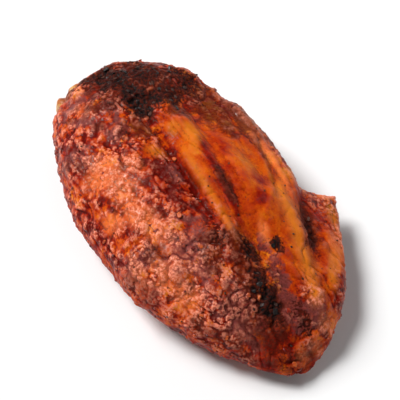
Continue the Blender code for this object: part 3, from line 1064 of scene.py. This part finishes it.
def add_light(name, azimuth, elevation, distance, size, power, colour=(1.0, 1.0, 1.0)):
    data = bpy.data.lights.new(name, "AREA")
    data.shape = "DISK"
    data.size, data.energy, data.color = size, power, colour
    lamp = bpy.data.objects.new(name, data)
    bpy.context.scene.collection.objects.link(lamp)
    toward = direction(azimuth, elevation)
    lamp.location = toward * distance
    lamp.rotation_mode = "QUATERNION"
    lamp.rotation_quaternion = (-toward).to_track_quat("-Z", "Y")


def add_sun(name, azimuth, elevation, width, strength):
    data = bpy.data.lights.new(name, "SUN")
    data.angle, data.energy = math.radians(width), strength
    lamp = bpy.data.objects.new(name, data)
    bpy.context.scene.collection.objects.link(lamp)
    lamp.rotation_mode = "QUATERNION"
    lamp.rotation_quaternion = (-direction(azimuth, elevation)).to_track_quat("-Z", "Y")


FLAT, BEND, RISE = 1.3, 6.0, 30  # the backdrop: its flat's radius, its bend's radius and its steepest slope


def add_sweep():
    """A round studio sweep: a flat floor whose far parts curve gently up, so that no horizon shows."""
    profile = [(0.0, 0.0), (0.3, 0.0), (FLAT, 0.0)]
    for step in range(1, 25):
        a = math.radians(RISE * step / 24)
        profile.append((FLAT + BEND * math.sin(a), BEND * (1 - math.cos(a))))
    bm = bmesh.new()
    verts = [bm.verts.new((r, 0, z - FLOOR_GAP * MM)) for r, z in profile]
    edges = [bm.edges.new(pair) for pair in zip(verts, verts[1:])]
    bmesh.ops.spin(bm, geom=verts + edges, cent=(0, 0, 0), axis=(0, 0, 1), angle=math.tau, steps=64)
    bmesh.ops.remove_doubles(bm, verts=bm.verts, dist=0.0001)
    bmesh.ops.recalc_face_normals(bm, faces=bm.faces)
    bmesh.ops.reverse_faces(bm, faces=bm.faces)
    mesh = bpy.data.meshes.new("floor")
    bm.to_mesh(mesh)
    bm.free()
    mesh.shade_smooth()
    floor = bpy.data.objects.new("floor", mesh)
    bpy.context.scene.collection.objects.link(floor)
    material, _, _, shader = new_material("floor_white")
    shader.inputs["Base Color"].default_value = (0.84, 0.84, 0.84, 1)
    shader.inputs["Roughness"].default_value = 0.6
    floor.data.materials.append(material)


def add_stage():
    add_sweep()
    world = bpy.data.worlds.new("world")
    world.use_nodes = True
    world.node_tree.nodes["Background"].inputs["Color"].default_value = (1, 1, 1, 1)
    world.node_tree.nodes["Background"].inputs["Strength"].default_value = 0.10
    bpy.context.scene.world = world
    add_sun("window", -50, 58, 22, 2.2)
    add_light("key", -62, 50, 0.9, 0.45, 5.0)
    add_light("back", -168, 22, 0.9, 0.30, 1.6)
    add_light("fill", 85, 40, 1.0, 0.6, 0.8)
    bpy.context.scene.view_settings.view_transform = "Standard"


# ---------------------------------------------------------------------------


def main():
    nodes = frame["nodes"]
    trees = [tree_of(nodes[name]) for name in ("ulna", "radius")]

    skin = skin_object(nodes["wing"], trees)
    fold_skin(skin.data)
    texture_skin(skin.data, dress_elbow(skin.data, trees))
    thinned(skin, MOST_TRIANGLES)
    skin.data.materials.append(skin_material())
    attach(skin, BODY)
    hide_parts("wing")

    mesh = skin.data
    char, upward = attribute_of(mesh, "char"), ramp(0.0, 0.6, normals_of(mesh)[:, 2])
    glaze = speck_material("glaze", (0.10, 0.004, 0.002), (0.27, 0.016, 0.003), (0.48, 0.060, 0.006), 0.25, 0.8, 0.5)
    add_beads(mesh, glaze)
    add_pepper(mesh, speck_material("pepper", (0.014, 0.007, 0.005), (0.045, 0.016, 0.009), (0.13, 0.045, 0.020), 0.6, 0.3))
    chilli = speck_material("chilli", (0.14, 0.006, 0.003), (0.33, 0.022, 0.005), (0.52, 0.09, 0.012), 0.4, 0.5, 0.2)
    crusty = ramp(0.3, 0.6, attribute_of(mesh, "grain"))
    add_flakes("chilli_flakes", mesh, upward * crusty * (1 - char), 60, 321, (0.7, 1.4), 0.15, 0.12, chilli)
    soot = speck_material("char_flakes", (0.008, 0.006, 0.006), (0.026, 0.012, 0.009), (0.09, 0.026, 0.014), 0.5, 0.5, 0.1)
    add_flakes("char_flakes", mesh, upward * ramp(0.3, 0.9, char), 70, 331, (0.6, 1.4), 0.18, 0.22, soot)

    bone_look = bone_material()
    for name in ("ulna", "radius"):
        bone_piece(name, nodes[name]).data.materials.append(bone_look)

    add_camera((cad_box[0] + cad_box[1]) / 2)
    add_stage()


main()
